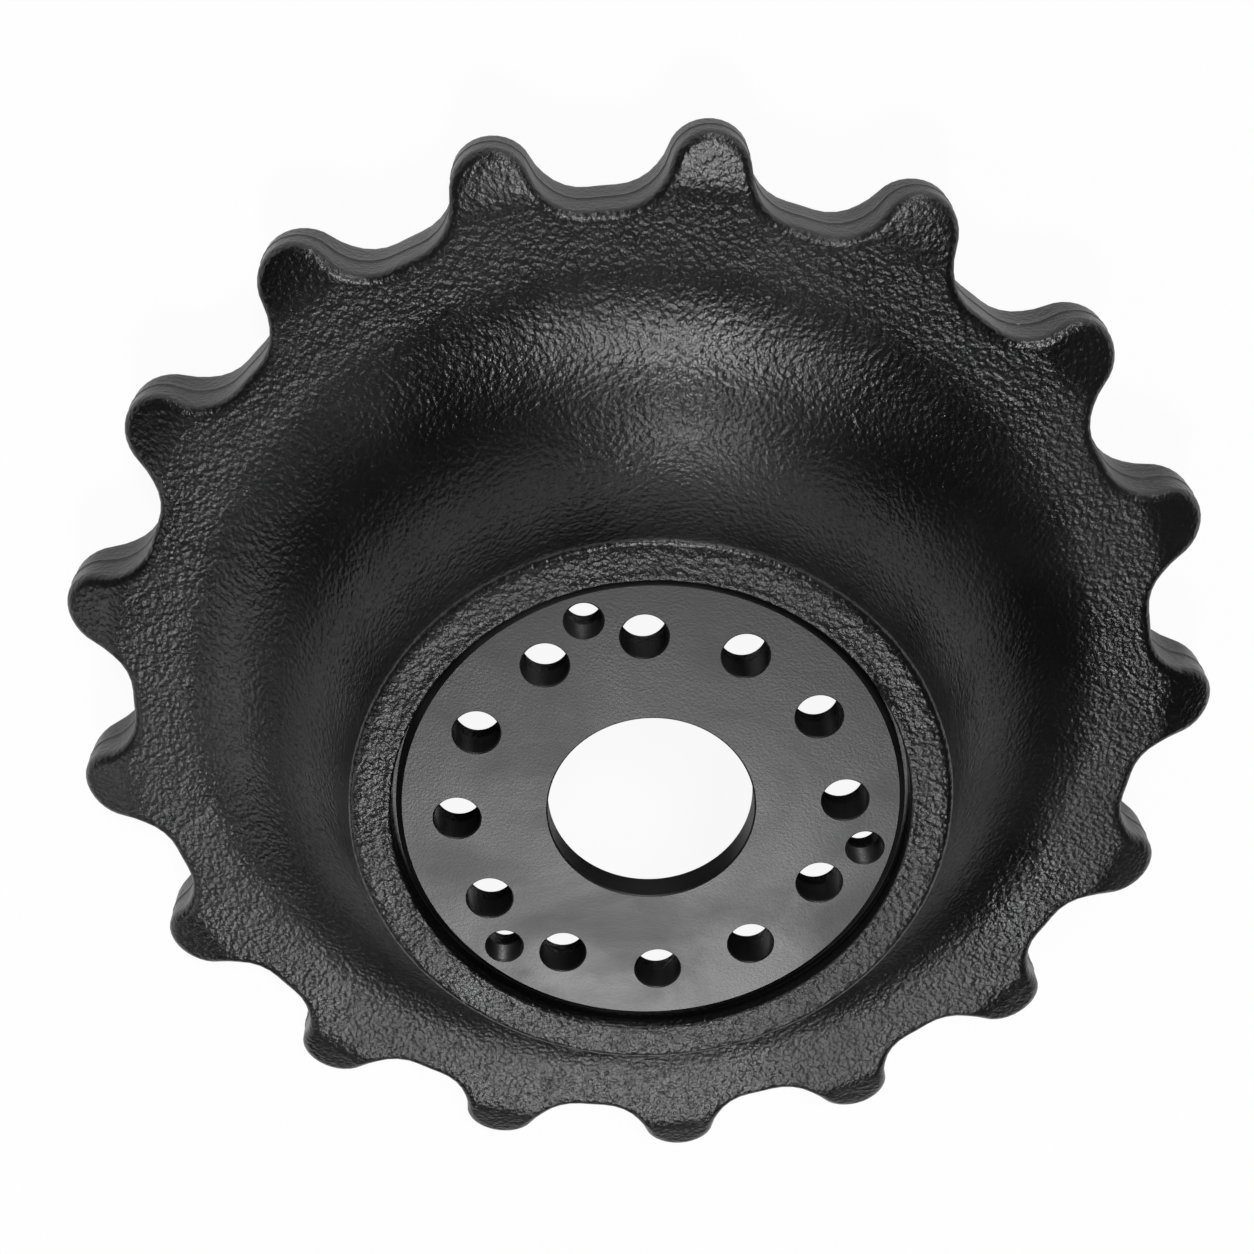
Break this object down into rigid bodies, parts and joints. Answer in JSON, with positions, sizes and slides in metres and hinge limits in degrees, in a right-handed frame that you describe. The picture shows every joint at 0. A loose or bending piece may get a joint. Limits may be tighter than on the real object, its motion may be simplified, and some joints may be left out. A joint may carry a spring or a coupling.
{
  "type": "dished track drive sprocket",
  "caption": "Dished drive sprocket for a crawler track: toothed cast rim and deep dish with a machined, drilled hub plate let into the neck.",
  "frame": {"origin": "centre of the bolt circle on the hub plate's mounting face", "axes": "+Z is the wheel axis, out of the mounting face; +X passes through the centre of one bolt hole"},
  "size_m": [0.4828, 0.4809, 0.126],
  "materials": {
    "cast_black_paint": "gloss black paint over a rough sand-cast steel skin",
    "machined_black_paint": "thin satin black coat over turned steel, grey where it shines through"
  },
  "bodies": {
    "root": {"dished_casting": "cast_black_paint", "hub_plate": "machined_black_paint"}
  },
  "joints": []
}
